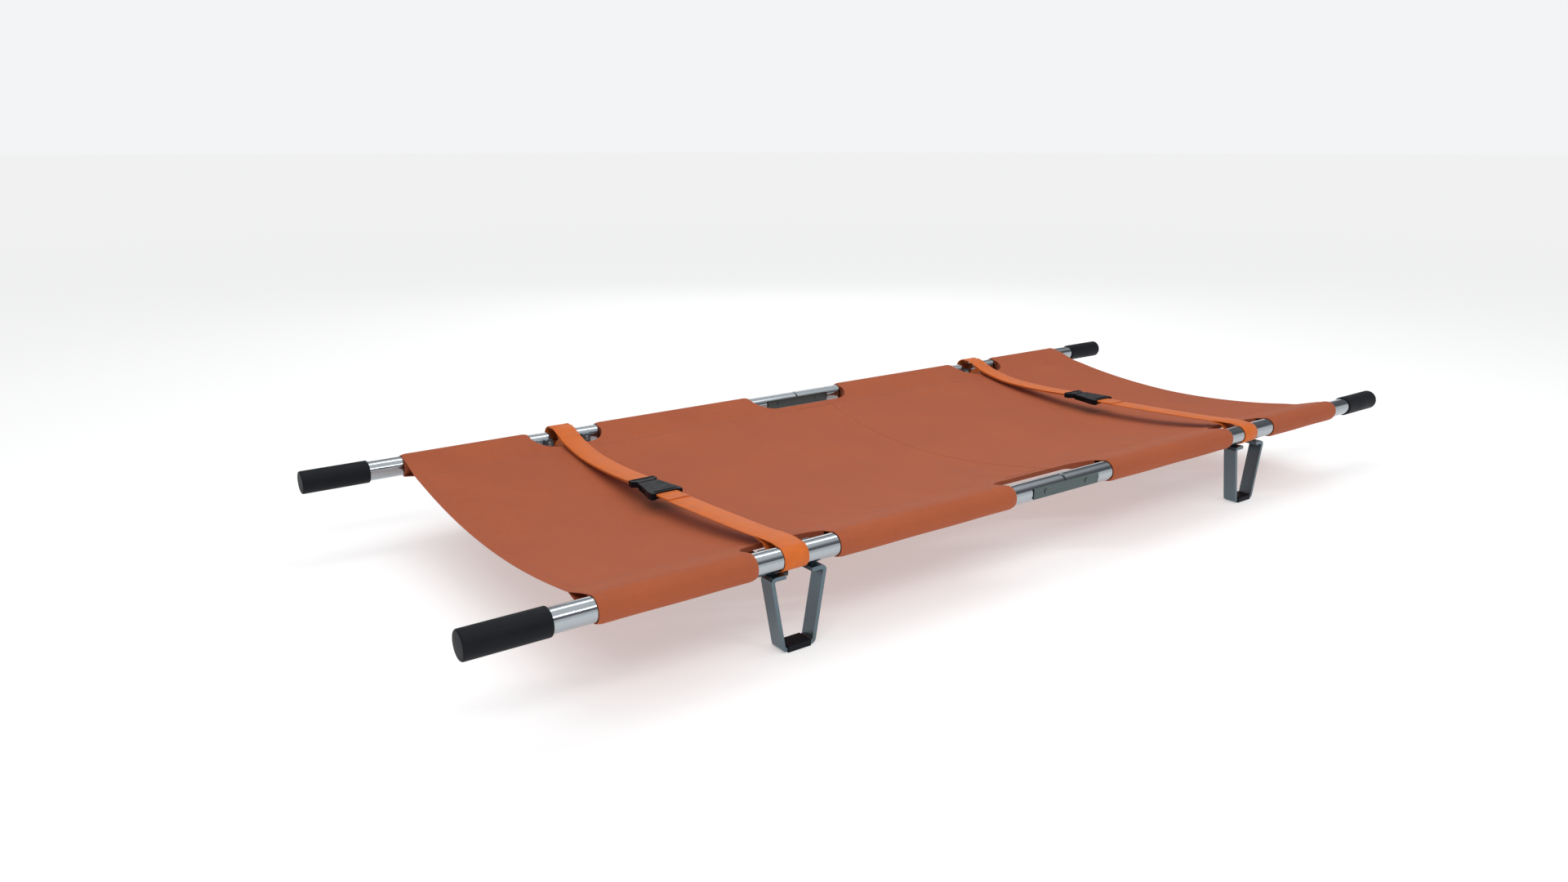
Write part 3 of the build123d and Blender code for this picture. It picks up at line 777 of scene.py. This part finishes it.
def strap_stitch(name, centre_x, side, inboard, z, slope):
    """A row of stitches across a strap, which rises by slope towards its pole."""
    margin, count = 3 * MM, 11
    reach = STRAP_W / 2 - margin
    xs = spaced(-reach, reach, 2 * reach / count)
    tilt = Vector((0, side * slope, 1)).normalized()
    y = side * (POLE_Y - inboard)
    spots = [Vector((centre_x + x, y, AXIS_Z + z + WEB_T * 0.55)) for x in xs]
    return stitch_row(name, spots, [Vector((1, 0, 0))] * len(xs), [tilt] * len(xs), STRAP_THREAD)


def turn_line(radii, first, last):
    """Points round the pole; radii maps turn in degrees to distance from its axis."""
    turns = list(range(first, last + 1, 9))
    keys = sorted(radii)
    spread = np.interp(turns, keys, [radii[k] for k in keys])
    return [(r * math.cos(math.radians(a)), r * math.sin(math.radians(a)))
            for a, r in zip(turns, spread)]


SNUG = TUBE_R + WEB_T * 0.6           # tape pulled tight on the tube, to its middle
RIGHT_JOIN = (34 * MM, 19.2 * MM)     # (inboard, height) where the right loop meets its run
LEFT_JOIN = (40 * MM, 21.5 * MM)
TAPE_IN_BUCKLE = 6 * MM
glide = {end: next(j for j in frame["joints"] if j["name"] == f"{end}_buckle_glide")
         for end in ("head", "foot")}
socket_end = POLE_Y + SOCKET[0].y + TAPE_IN_BUCKLE
plug_end = POLE_Y - PLUG[1].y + TAPE_IN_BUCKLE
tape_z = BUCKLE_Z + 0.4 * MM


def in_mm(*pairs):
    """(inboard, height) points of a strap, given in millimetres."""
    return [(inboard * MM, z * MM) for inboard, z in pairs]


def right_run(name, x):
    """From the right pole's loop along the bed's sag to the socket, with a sewn fold-back."""
    line = smooth_line([RIGHT_JOIN, *in_mm((91, 14.2), (184, 8.6), (278, 3.6)),
                        (socket_end, tape_z)])
    run = ribbon(f"strap_run_right_{name}", line, x, -1)
    patch = smooth_line([(socket_end - 46 * MM, 3.45 * MM), (socket_end - 20 * MM, 2.0 * MM),
                         (socket_end, tape_z + 1.7 * MM)])
    fold_back = ribbon(f"strap_fold_{name}", patch, x, -1, STRAP_W - 0.6 * MM)
    rows = [strap_stitch(f"strap_row_{k}", x, -1, socket_end - d * MM, z * MM, 0.05)
            for k, (d, z) in enumerate(((43, 3.5), (29, 2.6)))]
    return join(run, fold_back, *rows)


def left_run(name, x):
    """Doubled webbing from the left pole's loop to the plug, resting on the bed on its way."""
    upper = smooth_line([LEFT_JOIN, *in_mm((66, 12.5), (96, 5.6), (140, -1.2), (185, -3.8),
                                           (262, -3.6)), (plug_end, tape_z + 1.0 * MM)])
    lower = [(t, z - (2.6 * MM + 2.0 * MM * max(0.0, 1 - t / (150 * MM)))) for t, z in upper]
    run = ribbon(f"strap_run_left_{name}", upper, x, 1)
    under = ribbon(f"strap_under_{name}", lower, x, 1)
    rows = [strap_stitch(f"strap_row_{k}", x, 1, plug_end - d * MM, -2.1 * MM, 0.0)
            for k, d in enumerate((20, 34))]
    return join(run, under, *rows)


def right_loop(name, x):
    """Loop drawn tight round the right pole."""
    line = (in_mm((56, 18.0), (34, 19.4), (16, 20.3)) + turn_line({0: SNUG, 400: SNUG}, 80, 322)
            + in_mm((24, -4.0), (31, 5.5), (40, 13.5), (58, 15.9)))
    return ribbon(f"strap_loop_right_{name}", line, x, -1)


def left_loop(name, x):
    """Loop that stands loose over the left pole."""
    loose = {60: SNUG + 10.5 * MM, 90: SNUG + 10.6 * MM, 135: SNUG + 7 * MM, 180: SNUG + 2.5 * MM,
             230: SNUG, 330: SNUG}
    line = (smooth_line(in_mm((54, 16.8), (40, 21.5), (27, 26.8), (14, 29.6)))
            + turn_line(loose, 72, 322) + in_mm((25, -3.0), (34, 6.0), (45, 12.8), (62, 9.5)))
    return ribbon(f"strap_loop_left_{name}", line, x, 1)


def crumple(run):
    """Gives a run its own copy of its mesh."""
    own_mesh(run)


for end_name, end in (("head", -1), ("foot", 1)):
    x = end * STATION_X + STRAP_SHIFT
    run_right = right_run(end_name, x)
    run_left = left_run(end_name, x)
    loop_right = right_loop(end_name, x)
    loop_left = left_loop(end_name, x)

    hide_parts(f"{end_name}_strap_right")
    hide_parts(f"{end_name}_strap_left")
    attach(run_right, f"right_{end_name}")
    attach(loop_right, f"right_{end_name}")
    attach(run_left, f"left_{end_name}")
    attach(loop_left, f"left_{end_name}")
    joint = glide[end_name]
    move = Vector(joint["axis"]) * joint["range_m"][1]
    crumple(run_right)
    crumple(run_left)


# ---- studio -------------------------------------------------------------------------
FLOOR_R = 60.0
FLOOR_SIDES = 96


def pale_floor():
    """A large pale disc whose far parts meet the surroundings' colour."""
    turns = [2 * math.pi * k / FLOOR_SIDES for k in range(FLOOR_SIDES)]
    rim = [(FLOOR_R * math.cos(a), FLOOR_R * math.sin(a), 0) for a in turns]
    mesh = bpy.data.meshes.new("floor")
    mesh.from_pydata(rim, [], [tuple(range(FLOOR_SIDES))])
    floor = bpy.data.objects.new("floor", mesh)
    bpy.context.scene.collection.objects.link(floor)
    n = Nodes("floor")
    far = n.add("ShaderNodeVectorMath", operation="LENGTH")
    n.link(n.object_space(), far.inputs[0])
    near_edge, far_edge = 2.0, 9.0
    away = n.span(far.outputs["Value"], near_edge, far_edge, 0.0, 1.0)
    glow = n.span(far.outputs["Value"], near_edge, far_edge, 0.42, 0.80)
    n.set(Base_Color=n.mix(away, (0.66, 0.66, 0.66), (0.12, 0.12, 0.12)))
    n.set(Roughness=0.9, Specular_IOR_Level=0.0, Emission_Color=(1.0, 1.0, 1.0))
    n.set(Emission_Strength=glow)
    mesh.materials.append(n.material)


def area_light(name, spot, target, size, power):
    """A white rectangular light that faces its target."""
    data = bpy.data.lights.new(name, "AREA")
    data.shape = "RECTANGLE"
    data.size, data.size_y = size
    data.energy = power
    light = bpy.data.objects.new(name, data)
    bpy.context.scene.collection.objects.link(light)
    light.location = spot
    light.rotation_euler = (Vector(target) - Vector(spot)).to_track_quat("-Z", "Y").to_euler()


def sky():
    """Pale surroundings with a darker band overhead, which gives the metal its contrast."""
    world = bpy.data.worlds.new("studio")
    bpy.context.scene.world = world
    world.use_nodes = True
    tree = world.node_tree
    where = tree.nodes.new("ShaderNodeTexCoord")
    split = tree.nodes.new("ShaderNodeSeparateXYZ")
    ramp = tree.nodes.new("ShaderNodeValToRGB")
    tree.links.new(where.outputs["Generated"], split.inputs[0])
    tree.links.new(split.outputs["Z"], ramp.inputs["Fac"])
    tree.links.new(ramp.outputs["Color"], tree.nodes["Background"].inputs["Color"])
    stops = ((0.0, 0.90), (0.22, 0.90), (0.34, 0.14), (0.56, 0.16), (0.72, 0.85), (1.0, 0.95))
    elements = ramp.color_ramp.elements
    while len(elements) < len(stops):
        elements.new(0.5)
    for element, (position, level) in zip(elements, stops):
        element.position = position
        cool = 1.0 + 0.10 * (1 - level)
        element.color = (level * 0.99, level, level * cool, 1)
    tree.nodes["Background"].inputs["Strength"].default_value = 1.0


pale_floor()
sky()
area_light("key", (-0.9, -2.0, 2.3), (0, -0.1, 0.1), (3.4, 0.22), 28)
area_light("top", (0.3, 0.5, 2.9), (0, 0, 0.1), (3.4, 0.4), 22)
area_light("rim", (1.6, 2.6, 1.5), (0, 0, 0.1), (2.4, 0.8), 10)

# ---- camera: place, tilt and heading fitted to the view -------------------------------
EYE = (-1.4842, -1.6045, AXIS_Z + 0.5944)
TILT_DOWN, HEADING = 15.615, 36.016
camera = bpy.data.cameras.new("camera")
camera.sensor_width = 36.0
camera.lens = 24.83
camera.clip_end = FLOOR_R
eye = bpy.data.objects.new("camera", camera)
bpy.context.scene.collection.objects.link(eye)
eye.location = EYE
eye.rotation_euler = (math.radians(90 - TILT_DOWN), 0, -math.radians(HEADING))
bpy.context.scene.camera = eye
bpy.context.scene.view_settings.view_transform = "Standard"
